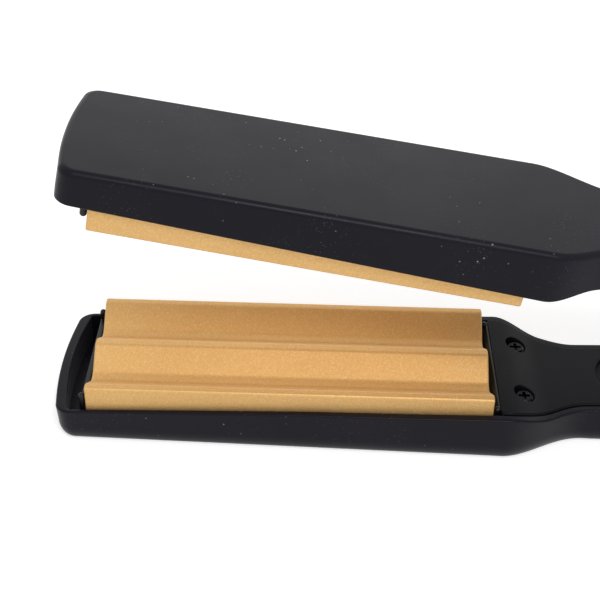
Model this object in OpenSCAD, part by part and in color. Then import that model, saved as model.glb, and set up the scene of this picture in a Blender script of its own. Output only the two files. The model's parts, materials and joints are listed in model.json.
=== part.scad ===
// Hair waver: two long arms joined by a hinge at the rear, each with a heated wave plate.
//
// Each arm is drawn in its own arm frame: x runs from the tip (-) to the hinge (+) and is 0 at
// the middle of the plate, z is 0 at the flat back of the arm and rises to its inner face.
// The two arms meet at the closing plane, a height arm_depth above the back at x = 0.
// The lower arm lies on its back. The upper arm is the same design mirrored in the closing
// plane and swung open about the hinge.

/* [Arms] */
// Depth of the lower arm, from its back to the closing plane, at the plate's middle
lower_depth = 16.2; // [15.5:0.05:18]
// Rise of the lower arm's closing plane per millimetre toward the hinge
lower_taper = 0.015; // [0.005:0.001:0.02]
// Depth of the upper arm, from its back to the closing plane, at the plate's middle
upper_depth = 15.2; // [15:0.05:18]
// Rise of the upper arm's closing plane per millimetre toward the hinge
upper_taper = 0.015; // [0.005:0.001:0.02]
// Angle to which the arms stand open at rest
open_angle = 10.14; // [8:0.01:12]
// Length of the handle, from the neck to the hinge axis
handle_length = 129.5; // [120:0.5:145]
// Distance of the hinge axis below the closing plane
hinge_drop = 1.05; // [0:0.05:2]

/* [Paddle and handle] */
// Reach of the tip beyond the plate
tip_overhang = 8.4; // [7.4:0.1:12]
// Bow of the tip's edge over the paddle's width
tip_bow = 0.7; // [0.4:0.1:2]
// Corner radius of the tip
tip_corner_r = 3.5; // [2:0.1:5]
// Width of the paddle beside the plate, at its tip
tip_side = 1.6; // [1.3:0.1:3]
// Width of the paddle beside the plate, at its heel
heel_side = 2.4; // [1.8:0.1:4]
// Distance from the plate to where the paddle starts to narrow into the neck
heel_length = 3.2; // [2.7:0.1:6]
// Length of the neck
neck_length = 18.5; // [16:0.5:24]
// Width of the handle at the neck
handle_w = 25.3; // [24.5:0.1:28]
// Width of the handle at the hinge
handle_rear_w = 26.4; // [25.4:0.1:30]
// Drop of the lower rim below the closing plane, at the plate's middle
lower_rim_drop = 4.85; // [4.5:0.05:5.5]
// Rise of the lower rim toward the closing plane per millimetre toward the hinge
lower_rim_rise = 0.0265; // [0.02:0.0005:0.03]
// Drop of the upper rim below the closing plane, at the plate's middle
upper_rim_drop = 5.1; // [4.5:0.05:5.5]
// Rise of the upper rim toward the closing plane per millimetre toward the hinge
upper_rim_rise = 0.0215; // [0.015:0.0005:0.03]
// Drop of the lower handle's inner face below the line of the paddle's rim
lower_handle_drop = 3.8; // [3:0.1:4.5]
// Drop of the upper handle's inner face below the line of the paddle's rim
upper_handle_drop = 2.3; // [1.5:0.1:3.5]
// Gap between the hinge ears and the lower arm's inner face under them
ear_floor_gap = 0.45; // [0.3:0.05:1]
// Radius along the edge of the back
back_edge_r = 3.0; // [1:0.1:3.5]
// Radius along the edge of the rim
rim_edge_r = 0.4; // [0.2:0.05:0.6]

/* [Shells] */
// Wall of the housings
wall = 1.9; // [1.5:0.1:2.2]
// Floor of the housings
floor_t = 2.0; // [1.5:0.1:2.2]
// Width of the flat land round the tip
tip_land = 2.8; // [2:0.1:3]
// Thickness of the inner covers
cover_t = 2.0; // [1.6:0.1:2.4]
// Height of an inner cover above the housing's rim
cover_rise = 0.4; // [0.2:0.1:0.8]
// Gap all round a piece that drops into a housing
seat_gap = 0.15; // [0.1:0.05:0.3]

/* [Wave plates] */
// Length of a plate
plate_l = 95.6; // [86:0.2:110]
// Width of a plate
plate_w = 36.4; // [32:0.2:42]
// Width of the flat along each side of a plate
outer_land = 2.0; // [1.2:0.1:2.6]
// Depth of a wave
wave_depth = 4.4; // [3:0.1:4.8]
// Width of the flat on a crest and in a trough
wave_land = 2.2; // [1.5:0.1:3]
// Radius of the bends in the wave
bend_r = 1.0; // [0.5:0.1:1.5]
// Metal left under the deepest part of the wave
plate_base = 2.0; // [1.5:0.1:2.4]
// Thickness of the side skirts
skirt_t = 1.6; // [1.2:0.1:2]
// Reach of the side skirts below the closing plane
skirt_depth = 9.4; // [8.5:0.1:9.8]

/* [Heating] */
// Length of a heater
heater_l = 64; // [50:1:80]
// Width of a heater
heater_w = 16; // [10:0.5:20]
// Thickness of a heater
heater_t = 2.6; // [2:0.1:2.8]
// Sheet thickness of the heater clamps
clamp_t = 0.8; // [0.5:0.1:1]
// Thickness of the insulating sheet
insulator_t = 0.4; // [0.3:0.1:0.8]
// Depth of the carrier's floor below the closing plane
carrier_depth = 10.6; // [10.4:0.1:10.8]
// Thickness of the carrier's floor
carrier_t = 1.4; // [1:0.1:1.6]

/* [Screws] */
// Distance of the neck screws behind the start of the neck
neck_screw_inset = 5.2; // [4.6:0.1:6]
// Distance of the rear screws in front of the hinge axis
rear_screw_inset = 27; // [24:0.5:34]
// Distance of the neck screws from the centre line
neck_screw_y = 9.5; // [8:0.1:10]
// Distance of the rear screws from the centre line
rear_screw_y = 6.5; // [5:0.1:7]
// Diameter of the sunk holes over the screw heads
well_d = 5.4; // [5:0.1:6]
// Depth of the screw heads' seats below the cover's face
well_depth = 2.6; // [2.4:0.1:3]
// Diameter of the screw heads
screw_head_d = 4.6; // [4:0.1:4.8]
// Diameter of the screw shanks
screw_d = 2.6; // [2.2:0.1:2.9]
// Length of the screw shanks
screw_l = 6; // [4:0.5:6.5]

/* [Controls] */
// Distance of the power button from the end of the neck
power_inset = 15.5; // [13:0.5:18]
// Diameter of the round recess about the power button
recess_d = 20; // [18:0.1:20.4]
// Depth of that recess
recess_depth = 1.2; // [0.6:0.1:1.4]
// Diameter of the power button
power_d = 13; // [10:0.1:14]
// Distance of the first temperature button from the power button
temp_inset = 23.5; // [21:0.5:28]
// Distance between the temperature buttons
temp_pitch = 12; // [11:0.5:14]
// Diameter of the temperature buttons
temp_d = 5.6; // [5:0.1:6.5]
// Travel of each button
button_travel = 0.6; // [0.4:0.1:0.7]
// Gap round each button
button_gap = 0.3; // [0.25:0.05:0.4]

/* [Hinge and cord outlet] */
// Radius of the hinge's knuckle and ears
knuckle_r = 7; // [6.6:0.1:7.2]
// Width of the lower arm's knuckle
knuckle_w = 13.8; // [13.4:0.1:14.2]
// Gap between the knuckle and each ear
ear_gap = 0.3; // [0.25:0.05:0.5]
// Diameter of the hinge pin
pin_d = 4; // [3.6:0.1:4.4]
// Radial running gap round the pin and round the cord sleeve
running_gap = 0.06; // [0.03:0.01:0.09]
// Height of the cord outlet above the back
outlet_z = 7.8; // [7.6:0.1:8]
// Outer diameter of the cord sleeve
sleeve_d = 8.6; // [8:0.1:9]
// Bore of the cord sleeve
cord_bore_d = 6.2; // [5.5:0.1:6.6]
// Distance that the cord sleeve stands out of the tail
sleeve_out = 8; // [6:0.5:12]

/* [Hidden] */

eps = 0.01;                                  // overlap that joins or cuts cleanly
plastic = [0.11, 0.105, 0.12];
dark_plastic = [0.06, 0.06, 0.065];
gold = [0.84, 0.68, 0.45];
steel = [0.72, 0.73, 0.75];
white_ceramic = [0.9, 0.88, 0.84];

// ---- Shape of an arm ----

tip_reach = plate_l / 2 + tip_overhang;      // the tip's distance from the plate's middle
neck_x = plate_l / 2 + heel_length;          // where the paddle starts to narrow
neck_end = neck_x + neck_length;
hinge_x = neck_end + handle_length;
paddle_tip_half = plate_w / 2 + tip_side;
paddle_heel_half = plate_w / 2 + heel_side;
draft = 0.3;                                 // inset of the side walls at the back
cavity_half = plate_w / 2 + 2 * seat_gap;    // half width of the well that the plate sits in
cavity_bow = 1.8;                            // bow of the cavity's end behind the tip land
cavity_corner_r = 2;
drop_start = neck_x + 0.5;                   // where the inner face starts to fall in the neck
drop_length = 0.62 * neck_length;
tail_start = hinge_x - 16;                   // where the lower arm's inner face falls again
tail_length = 9;
tail_end = hinge_x + 9;                      // rear end of the lower housing
lower_cavity_end = hinge_x - 8.5;
upper_end = hinge_x + knuckle_r;             // rear end of the upper housing
hinge_pocket_x = hinge_x - 13;               // front of the pocket over the knuckle
upper_cavity_end = hinge_pocket_x - wall;
cover_front = plate_l / 2 + 1.8;             // front edge of the inner covers
cover_corner_r = 0.8;
fillet_steps = 4;                            // facets round the edge of the back

// x of the sections along an arm's side: few where it is straight, more in the neck and tail
side_stations = [
  -0.8 * tip_reach, 0, neck_x - 1.5, neck_x,
  for (k = [1 : 11]) neck_x + neck_length * k / 11,
  for (k = [1 : 4]) neck_end + (tail_start - 6 - neck_end) * k / 4];
tail_stations = [for (k = [0 : 5]) tail_start + tail_length * k / 5];

function smooth(t) = let (c = min(max(t, 0), 1)) c * c * (3 - 2 * c);
function depth(arm) = arm == "lower" ? lower_depth : upper_depth;
function taper(arm) = arm == "lower" ? lower_taper : upper_taper;
function shell_end(arm) = arm == "lower" ? tail_end : upper_end;
function rear_corner_r(arm) = arm == "lower" ? 5 : 3;
function cavity_end(arm) = arm == "lower" ? lower_cavity_end : upper_cavity_end;

// Drop of the paddle's rim below the closing plane: more at the tip than at the heel
function rim_drop(arm, x) = arm == "lower"
  ? lower_rim_drop - lower_rim_rise * x
  : upper_rim_drop - upper_rim_rise * x;
// Height of the closing plane above the back
function closing_z(arm, x) = depth(arm) + taper(arm) * x;
// Height of a handle's inner face above the back, before the lower arm's face falls at the tail
function handle_z(arm, x) = closing_z(arm, x) - rim_drop(arm, x)
  - (arm == "lower" ? lower_handle_drop : upper_handle_drop)
  * smooth((x - drop_start) / drop_length);
// The lower arm's inner face stays clear of the ears round the hinge axis
tail_drop = handle_z("lower", hinge_x) - hinge_pos("lower").z + knuckle_r + ear_floor_gap;
// Height of the housing's rim above the back
function rim_z(arm, x) = handle_z(arm, x)
  - (arm == "lower" ? tail_drop * smooth((x - tail_start) / tail_length) : 0);

function paddle_half(x) = paddle_tip_half
  + (paddle_heel_half - paddle_tip_half) * (x + tip_reach) / (neck_x + tip_reach);
function handle_half(x) = handle_w / 2
  + (handle_rear_w - handle_w) / 2 * max(x - neck_end, 0) / (hinge_x - neck_end);
function half_w(x) = x < neck_x ? paddle_half(x)
  : paddle_heel_half + (handle_half(x) - paddle_heel_half) * smooth((x - neck_x) / neck_length);
// Half width at x of the outline inset by d, measured square to the edge
function inset_half(x, d) =
  let (slope = half_w(x + 0.5) - half_w(x - 0.5)) half_w(x) - d * sqrt(1 + slope * slope);

// One side of an arm's outline, from its tip to its rear, half(x) wide, with the stations that
// lie within span between its corners. A straight tip has no bow.
function half_outline(arm, tip, bow, tip_r, rear, rear_r, half, span) =
  let (y_tip = half(tip + tip_r) - tip_r,
       x_tip = tip + bow + tip_r,
       y_rear = half(rear - rear_r) - rear_r,
       stations = arm == "lower" ? concat(side_stations, tail_stations) : side_stations)
  [if (bow > 0) for (k = [0.5 : 5.5]) [tip + bow * pow(k / 6, 2), y_tip * k / 6],
   for (a = [0 : 22.5 : 90]) [x_tip - tip_r * cos(a), y_tip + tip_r * sin(a)],
   for (x = stations) if (x > span[0] && x < span[1]) [x, half(x)],
   for (a = [90 : -22.5 : 0]) [rear - rear_r + rear_r * cos(a), y_rear + rear_r * sin(a)]];

// The whole outline as a ring of points, each at the height that level() gives for its x
function ring(half, level) = [
  for (p = half) [p.x, p.y, level(p.x)],
  for (k = [len(half) - 1 : -1 : 0]) [half[k].x, -half[k].y, level(half[k].x)]];

// A solid through a stack of rings, lowest first, closed by strips across the first and last
module loft(rings) {
  n = len(rings[0]);
  top = (len(rings) - 1) * n;
  sides = [for (j = [0 : len(rings) - 2], k = [0 : n - 1])
    let (a = j * n + k, b = j * n + (k + 1) % n) each [[a, b, b + n], [a, b + n, a + n]]];
  strips = [for (k = [0 : n / 2 - 2]) [k, k + 1, n - 2 - k, n - 1 - k]];
  bottom_cap = [for (s = strips) each [[s[3], s[2], s[1]], [s[3], s[1], s[0]]]];
  top_cap = [for (s = strips) each [
    [top + s[3], top + s[1], top + s[2]], [top + s[3], top + s[0], top + s[1]]]];
  polyhedron([for (r = rings) each r], concat(sides, bottom_cap, top_cap));
}

// ---- Placing ----

// From the closing frame (z = 0 at the closing plane) to the arm frame
module at_closing_plane(arm) translate([0, 0, depth(arm)]) rotate([0, -atan(taper(arm)), 0]) children();
// From the arm frame to the closing frame
module from_arm(arm) rotate([0, atan(taper(arm)), 0]) translate([0, 0, -depth(arm)]) children();

x_mid = (tail_end + sleeve_out - tip_reach) / 2;
// The part's frame: on the floor, centred on the overall length
module lower_arm() translate([-x_mid, 0, 0]) children();
module upper_arm()
  translate([-x_mid, 0, 0]) at_closing_plane("lower")
  translate([hinge_x, 0, -hinge_drop]) rotate([0, open_angle, 0]) translate([-hinge_x, 0, hinge_drop])
  mirror([0, 0, 1]) from_arm("upper") children();

// Hinge axis in each arm frame
function hinge_pos(arm) =
  let (t = atan(taper(arm)), z = arm == "lower" ? -hinge_drop : hinge_drop)
  [hinge_x * cos(t) - z * sin(t), 0, depth(arm) + hinge_x * sin(t) + z * cos(t)];
module across(width) rotate([90, 0, 0]) linear_extrude(width, center = true) children();

// ---- Shells ----

module arm_solid(arm) {
  function outer(inset) = half_outline(arm, -tip_reach + inset, tip_bow, tip_corner_r - inset / 2,
    shell_end(arm) - inset, rear_corner_r(arm) - inset / 2, function(x) inset_half(x, inset),
    [-0.85 * tip_reach, shell_end(arm) - rear_corner_r(arm) - 1]);
  loft([
    for (k = [0 : fillet_steps]) let (a = 90 * k / fillet_steps)
      ring(outer(draft + back_edge_r * (1 - sin(a))), function(x) back_edge_r * (1 - cos(a))),
    for (a = [0, 45, 90])
      ring(outer(rim_edge_r * (1 - cos(a))), function(x) rim_z(arm, x) - rim_edge_r * (1 - sin(a)))]);
}

// The well is as wide as the plate needs in the paddle, where the walls are thinner at the tip
module arm_cavity(arm) {
  well = half_outline(arm, -tip_reach + tip_land, cavity_bow, cavity_corner_r, cavity_end(arm),
    cavity_corner_r, function(x) x < neck_x ? cavity_half : min(cavity_half, inset_half(x, wall)),
    [-0.85 * tip_reach, cavity_end(arm) - cavity_corner_r - 1]);
  loft([ring(well, function(x) floor_t), ring(well, function(x) rim_z(arm, x) + 1)]);
}

neck_screw_x = neck_x + neck_screw_inset;
rear_screw_x = hinge_x - rear_screw_inset;
screw_places = [
  for (y = [-1, 1]) [neck_screw_x, y * neck_screw_y],
  for (y = [-1, 1]) [rear_screw_x, y * rear_screw_y]];
boss_d = well_d + 2;
function cover_z(arm, x) = rim_z(arm, x) + cover_rise;
function seat_z(arm, x) = cover_z(arm, x) - well_depth;
well_floor_t = 1.2;                          // plastic under a screw's head
pilot_d = screw_d + 0.1;

module screw_bosses(arm) {
  for (p = screw_places) translate([p.x, p.y, floor_t - eps])
    cylinder(d = boss_d, h = seat_z(arm, p.x) - well_floor_t - floor_t + eps, $fn = 40);
}
module screw_pilots(arm) {
  for (p = screw_places) translate([p.x, p.y, seat_z(arm, p.x) - screw_l - 0.5])
    cylinder(d = pilot_d, h = screw_l, $fn = 24);
}

carrier_foot_x = [for (s = [-1 : 1]) s * 0.35 * plate_l];  // ribs under the plate carrier
carrier_foot_t = 2;
carrier_under = carrier_depth + carrier_t;
module carrier_ribs(arm) {
  for (x = carrier_foot_x) {
    top = closing_z(arm, x) - carrier_under - 0.05;
    translate([x - carrier_foot_t / 2, -cavity_half - tip_side / 2, floor_t - eps])
      cube([carrier_foot_t, 2 * cavity_half + tip_side, top - floor_t + eps]);
  }
}

spring_wire_d = 1.0;
spring_r = pin_d / 2 + 0.3 + spring_wire_d / 2;
spring_turns = 4;
spring_leg = 8;
spring_rib_w = 5;
spring_rib_t = 3;
spring_slot_w = 6.4;
spring_slot_r = spring_r + spring_wire_d / 2 + 0.3;
chamber_d = sleeve_d + 2.6;                  // room for the cord sleeve's collar
tail_floor = 8;                              // inside the tail block, below its top

// Two lugs of the lower arm with the spring between them, open to the front
module lower_knuckle() {
  h = hinge_pos("lower");
  difference() {
    union() {
      translate([h.x, 0, h.z]) across(knuckle_w) circle(r = knuckle_r, $fn = 72);
      translate([h.x - knuckle_r, -knuckle_w / 2, tail_floor])
        cube([2 * knuckle_r, knuckle_w, h.z - tail_floor]);
    }
    translate([h.x, 0, h.z]) across(spring_slot_w) circle(r = spring_slot_r, $fn = 48);
    translate([h.x - knuckle_r - 1, -spring_slot_w / 2, h.z - spring_slot_r])
      cube([knuckle_r + 1, spring_slot_w, spring_slot_r + knuckle_r + 1]);
  }
}

module lower_housing() color(plastic) lower_arm() {
  h = hinge_pos("lower");
  difference() {
    union() {
      difference() {
        arm_solid("lower");
        arm_cavity("lower");
      }
      screw_bosses("lower");
      carrier_ribs("lower");
      board_posts();
      lower_knuckle();
      translate([sleeve_start, 0, outlet_z]) rotate([0, 90, 0])
        cylinder(d = sleeve_d + 2 * wall, h = tail_end - sleeve_start, $fn = 64);
    }
    screw_pilots("lower");
    translate([h.x, 0, h.z]) across(knuckle_w + 1) circle(d = pin_d + 2 * running_gap, $fn = 48);
    translate([lower_cavity_end - 1, 0, outlet_z]) rotate([0, 90, 0])
      cylinder(d = chamber_d, h = sleeve_start + sleeve_collar_t + 2 * seat_gap
        - lower_cavity_end + 1, $fn = 48);
    translate([sleeve_start, 0, outlet_z]) rotate([0, 90, 0])
      cylinder(d = sleeve_d + 2 * running_gap, h = tail_end - sleeve_start + 1, $fn = 64);
  }
}

ear_inner = knuckle_w / 2 + ear_gap;
ear_outer = handle_rear_w / 2 - 0.3;
cap_d = 7;
cap_t = 1.4;
hood_t = 2.6;                                // back and rear walls round the knuckle

// The two ears that carry the upper arm, each a disc with a broad foot in the housing
module hinge_ears(h) across(2 * ear_outer) hull() {
  translate([h.x, h.z]) circle(r = knuckle_r, $fn = 64);
  translate([h.x - 1.6 * knuckle_r, rim_z("upper", h.x) - 4]) square([2.3 * knuckle_r, 1]);
}
// Room for the lower arm's knuckle: a pocket under the hood, open toward the lower arm
module knuckle_room(h) {
  height = h.z + knuckle_r;
  translate([h.x, 0, h.z]) across(2 * ear_inner) circle(r = knuckle_r + 0.5, $fn = 72);
  translate([hinge_pocket_x, -ear_inner, hood_t])
    cube([upper_end - hood_t - hinge_pocket_x, 2 * ear_inner, height]);
  translate([h.x, -ear_inner, h.z]) cube([knuckle_r + 1, 2 * ear_inner, height]);
}

module upper_housing() color(plastic) upper_arm() {
  h = hinge_pos("upper");
  difference() {
    union() {
      difference() {
        union() {
          arm_solid("upper");
          hinge_ears(h);
        }
        arm_cavity("upper");
        knuckle_room(h);
      }
      screw_bosses("upper");
      carrier_ribs("upper");
      // rib that the spring's upper leg presses
      translate([h.x - spring_leg - 0.5, -spring_rib_w / 2, hood_t - eps])
        cube([spring_rib_t, spring_rib_w, h.z - spring_slot_r - hood_t + eps]);
    }
    screw_pilots("upper");
    translate([h.x, 0, h.z]) across(4 * ear_outer) circle(d = pin_d + 2 * running_gap, $fn = 48);
    for (s = [-1, 1]) translate([h.x, s * (ear_outer - cap_t / 2 + 0.5), h.z])
      across(cap_t + 1) circle(d = cap_d + 2 * running_gap, $fn = 48);
  }
}

// ---- Inner covers ----

cover_end_gap = 0.3;
module cover_plate(arm) {
  rear = cavity_end(arm) - cover_end_gap;
  function outline(inset) = half_outline(arm, cover_front + inset, 0, cover_corner_r,
    rear - inset, cavity_corner_r - inset,
    function(x) min(cavity_half - seat_gap - inset, inset_half(x, wall + seat_gap + inset)),
    [cover_front + cover_corner_r + 1, rear - cavity_corner_r - 1]);
  loft([
    ring(outline(0), function(x) cover_z(arm, x) - cover_t),
    ring(outline(0), function(x) cover_z(arm, x) - 0.3),
    ring(outline(0.3), function(x) cover_z(arm, x))]);
}

module cover_with_wells(arm) {
  difference() {
    union() {
      cover_plate(arm);
      for (p = screw_places) translate([p.x, p.y, seat_z(arm, p.x) - well_floor_t])
        cylinder(d = boss_d, h = well_floor_t + well_depth - cover_t + 0.9, $fn = 40);
      if (arm == "lower")
        translate([power_x, 0, recess_z - recess_floor_t])
          cylinder(d = recess_d + 1.2, h = recess_floor_t + 0.4, $fn = 64);
    }
    for (p = screw_places) {
      translate([p.x, p.y, seat_z(arm, p.x)]) cylinder(d = well_d, h = 6, $fn = 40);
      translate([p.x, p.y, seat_z(arm, p.x) - 3]) cylinder(d = pilot_d + 0.3, h = 6, $fn = 24);
    }
    if (arm == "lower") control_openings();
  }
}

module lower_inner_cover() color(plastic) lower_arm() cover_with_wells("lower");
module upper_inner_cover() color(plastic) upper_arm() cover_with_wells("upper");

// ---- Controls ----

power_x = neck_end + power_inset;
temp_x = power_x + temp_inset;
recess_z = cover_z("lower", power_x) - recess_depth;
recess_floor_t = 1.6;
lens_x = power_x + recess_d / 2 + 4.5;
lens_d = 2.6;
board_x = power_x - 11;
board_end = temp_x + temp_pitch + 8;
board_z = 2.8;
board_t = 1.6;
board_w = 17;
switch_top = board_z + board_t + 1.8;
flange_t = 0.8;
post_d = 3;
switch_w = 6;
switch_h = 1.4;
temp_places = [temp_x, temp_x + temp_pitch];

module control_openings() {
  translate([power_x, 0, recess_z]) cylinder(d = recess_d, h = 5, $fn = 72);
  translate([power_x, 0, recess_z - 3]) cylinder(d = power_d + 2 * button_gap, h = 6, $fn = 64);
  for (x = temp_places) translate([x, 0, cover_z("lower", x) - cover_t - 1])
    cylinder(d = temp_d + 2 * button_gap, h = 6, $fn = 40);
  translate([lens_x, 0, cover_z("lower", lens_x) - cover_t - 1])
    cylinder(d = lens_d + 2 * running_gap, h = 6, $fn = 32);
}

// A round button: domed cap through the cover, flange under it and stem over its switch
module push_button(d, top, flange_top) {
  stem_d = 3;
  flange_d = d + 2 * button_gap + 1.4;
  cap_h = top - flange_top;
  dome = 0.5;
  rotate_extrude($fn = 72) polygon([
    [0, switch_top + button_travel + 0.2],
    [stem_d / 2, switch_top + button_travel + 0.2],
    [stem_d / 2, flange_top - flange_t],
    [flange_d / 2, flange_top - flange_t],
    [flange_d / 2, flange_top],
    [d / 2, flange_top],
    [d / 2, flange_top + cap_h - dome],
    for (a = [0 : 15 : 90]) [d / 2 - dome * (1 - cos(a)), flange_top + cap_h - dome + dome * sin(a)],
    [0, flange_top + cap_h]]);
}

module power_button() color(dark_plastic) lower_arm()
  translate([power_x, 0, 0])
  push_button(power_d, recess_z + recess_depth + 0.1, recess_z - recess_floor_t - 0.3);
module temp_button(x) color(dark_plastic) lower_arm()
  translate([x, 0, 0])
  push_button(temp_d, cover_z("lower", x) + 0.7, cover_z("lower", x) - cover_t - 0.35);
module temp_up_button() temp_button(temp_places[0]);
module temp_down_button() temp_button(temp_places[1]);

module board_posts() {
  for (x = [board_x + 4, board_end - 4], s = [-1, 1])
    translate([x, s * (board_w / 2 - post_d), floor_t - eps])
    cylinder(d = post_d, h = board_z - floor_t + eps, $fn = 32);
}
module control_board() color([0.1, 0.35, 0.2]) lower_arm()
  translate([board_x, -board_w / 2, board_z]) cube([board_end - board_x, board_w, board_t]);
module tact_switches() lower_arm() {
  for (x = concat([power_x], temp_places)) translate([x, 0, board_z + board_t]) {
    color(dark_plastic) translate([-switch_w / 2, -switch_w / 2, 0])
      cube([switch_w, switch_w, switch_h]);
    color(steel) cylinder(d = 2.6, h = switch_top - board_z - board_t, $fn = 32);
  }
}
module indicator_lens() color([0.9, 0.3, 0.25]) lower_arm()
  translate([lens_x, 0, board_z + board_t])
  rotate_extrude($fn = 40) polygon([
    [0, 0], [1.8, 0], [1.8, 1.2], [lens_d / 2, 1.2],
    [lens_d / 2, cover_z("lower", lens_x) - board_z - board_t - 0.15],
    [0, cover_z("lower", lens_x) - board_z - board_t + 0.15]]);

// ---- Wave plates ----

// Points of an arc of radius r that rounds the corner b of the path a - b - c
function rounded(a, b, c, r, steps = 4) =
  let (u = (a - b) / norm(a - b), v = (c - b) / norm(c - b),
       half = acos(min(max(u * v, -1), 1)) / 2,
       mid = (u + v) / norm(u + v),
       centre = b + mid * r / sin(half),
       p = b + u * r / tan(half) - centre,
       q = b + v * r / tan(half) - centre,
       turn = (p.x * q.y - p.y * q.x > 0 ? 1 : -1) * (180 - 2 * half))
  [for (k = [0 : steps]) let (a = turn * k / steps)
    centre + [p.x * cos(a) - p.y * sin(a), p.x * sin(a) + p.y * cos(a)]];

edge_r = 0.6;
wave_pitch = plate_w / 2 - outer_land + wave_land / 2;  // distance between two crests
slope_run = wave_pitch / 2 - wave_land;
// The bends of the wave from the middle to one side: each [y, depth, radius]
wave_bends = [
  [wave_land / 2, 0, bend_r],
  [wave_land / 2 + slope_run, 1, bend_r],
  [wave_land * 1.5 + slope_run, 1, bend_r],
  [wave_pitch - wave_land / 2, 0, bend_r],
  [plate_w / 2, 0, edge_r]];

// Section of a plate. sign is -1 where the wave cuts into the plate, 1 where it stands out.
module plate_section(sign, base) {
  side = [for (b = wave_bends) [b.x, sign * wave_depth * b.y]];
  foot = [plate_w / 2, -skirt_depth];
  path = concat([[0, 0]], side, [foot]);
  face = [for (k = [1 : len(side)]) each rounded(path[k - 1], path[k], path[k + 1], wave_bends[k - 1].z)];
  inside = [foot, [plate_w / 2 - skirt_t, -skirt_depth], [plate_w / 2 - skirt_t, base]];
  half = concat(face, inside);
  polygon(concat([for (p = half) p], [for (k = [len(half) - 1 : -1 : 0]) [-half[k].x, half[k].y]]));
}
module wave_plate(sign, base)
  rotate([90, 0, 90]) linear_extrude(plate_l, center = true) plate_section(sign, base);

lower_base = -wave_depth - plate_base;       // underside of each plate, where its heater sits
upper_base = -plate_base;
module lower_wave_plate() color(gold) lower_arm() at_closing_plane("lower") wave_plate(-1, lower_base);
module upper_wave_plate() color(gold) upper_arm() at_closing_plane("upper") wave_plate(1, upper_base);

// ---- Plate carriers ----

end_gap = 0.25;                              // between a plate's end and the carrier's walls
tip_wall_t = 1.4;
heel_wall_t = 1.1;
carrier_tip = -plate_l / 2 - end_gap - tip_wall_t;
carrier_heel = plate_l / 2 + end_gap + heel_wall_t;
tip_wall_drop = 5.2;                         // heights of the walls and pegs below the closing plane
heel_wall_drop = 4.2;
tip_peg_drop = 2.7;
heel_peg_drop = 3.5;
carrier_half = plate_w / 2 - skirt_t - seat_gap;
peg_d = 1.5;
peg_y = carrier_half + seat_gap;
lead_slot_w = 17;
lead_slot_drop = 6.5;
locating_rib_w = 1.5;
locating_rib_h = 1.2;
locating_rib_l = heater_l + 16;
module plate_carrier() difference() {
  carrier_body();
  translate([locating_rib_l / 2 - 0.5, -lead_slot_w / 2, -carrier_under - 1])
    cube([carrier_heel, lead_slot_w, carrier_under + 1 - lead_slot_drop]);
}
module carrier_body() {
  wall_half = carrier_half + 0.6;
  translate([carrier_tip, -carrier_half, -carrier_under])
    cube([carrier_heel - carrier_tip, 2 * carrier_half, carrier_t]);
  translate([carrier_tip, -wall_half, -carrier_under])
    cube([tip_wall_t, 2 * wall_half, carrier_under - tip_wall_drop]);
  translate([carrier_heel - heel_wall_t, -wall_half, -carrier_under])
    cube([heel_wall_t, 2 * wall_half, carrier_under - heel_wall_drop]);
  for (s = [-1, 1]) {
    translate([-locating_rib_l / 2, s * (carrier_half - locating_rib_w / 2) - locating_rib_w / 2,
               -carrier_depth - eps])
      cube([locating_rib_l, locating_rib_w, locating_rib_h]);
    translate([carrier_tip + tip_wall_t / 2, s * peg_y, -carrier_under])
      round_peg(carrier_under - tip_peg_drop);
    translate([carrier_heel - heel_wall_t / 2, s * peg_y, -carrier_under])
      round_peg(carrier_under - heel_peg_drop);
  }
}
module round_peg(h) rotate_extrude($fn = 32) polygon([
  [0, 0], [peg_d / 2, 0],
  for (a = [0 : 22.5 : 90]) [peg_d / 2 * cos(a), h - peg_d / 2 + peg_d / 2 * sin(a)]]);

module lower_plate_frame() color(dark_plastic) lower_arm() at_closing_plane("lower") plate_carrier();
module upper_plate_frame() color(dark_plastic) upper_arm() at_closing_plane("upper") plate_carrier();

// ---- Heating ----

module heater(base)
  translate([-heater_l / 2, -heater_w / 2, base - heater_t]) cube([heater_l, heater_w, heater_t]);
// A channel that presses the heater on the plate and stands on the insulating sheet
module heater_clamp(base) {
  web = base - heater_t;
  foot = -carrier_depth + insulator_t;
  for (s = [-1, 1]) translate([-heater_l / 2, s * (heater_w - clamp_t) / 2 - clamp_t / 2, foot])
    cube([heater_l, clamp_t, web - foot]);
  translate([-heater_l / 2, -heater_w / 2, web - clamp_t]) cube([heater_l, heater_w, clamp_t]);
}
module insulator()
  translate([-heater_l / 2 - 6, -heater_w / 2 - 3, -carrier_depth])
    cube([heater_l + 12, heater_w + 6, insulator_t]);

module lower_heater() color(white_ceramic) lower_arm() at_closing_plane("lower") heater(lower_base);
module upper_heater() color(white_ceramic) upper_arm() at_closing_plane("upper") heater(upper_base);
module lower_heater_clamp() color(steel) lower_arm() at_closing_plane("lower") heater_clamp(lower_base);
module upper_heater_clamp() color(steel) upper_arm() at_closing_plane("upper") heater_clamp(upper_base);
module lower_insulator() color(white_ceramic) lower_arm() at_closing_plane("lower") insulator();
module upper_insulator() color(white_ceramic) upper_arm() at_closing_plane("upper") insulator();

// Both sensors lie against the underside of the lower plate, past the heater's rear end
sensor_x = heater_l / 2 + 1;
sensor_y = 4.5;
sensor_l = 9;
fuse_d = 2;
bead_r = 0.8;
module thermal_fuse() color(steel) lower_arm() at_closing_plane("lower")
  translate([sensor_x, sensor_y, lower_base - fuse_d / 2]) rotate([0, 90, 0])
  cylinder(d = fuse_d, h = sensor_l, $fn = 32);
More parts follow.
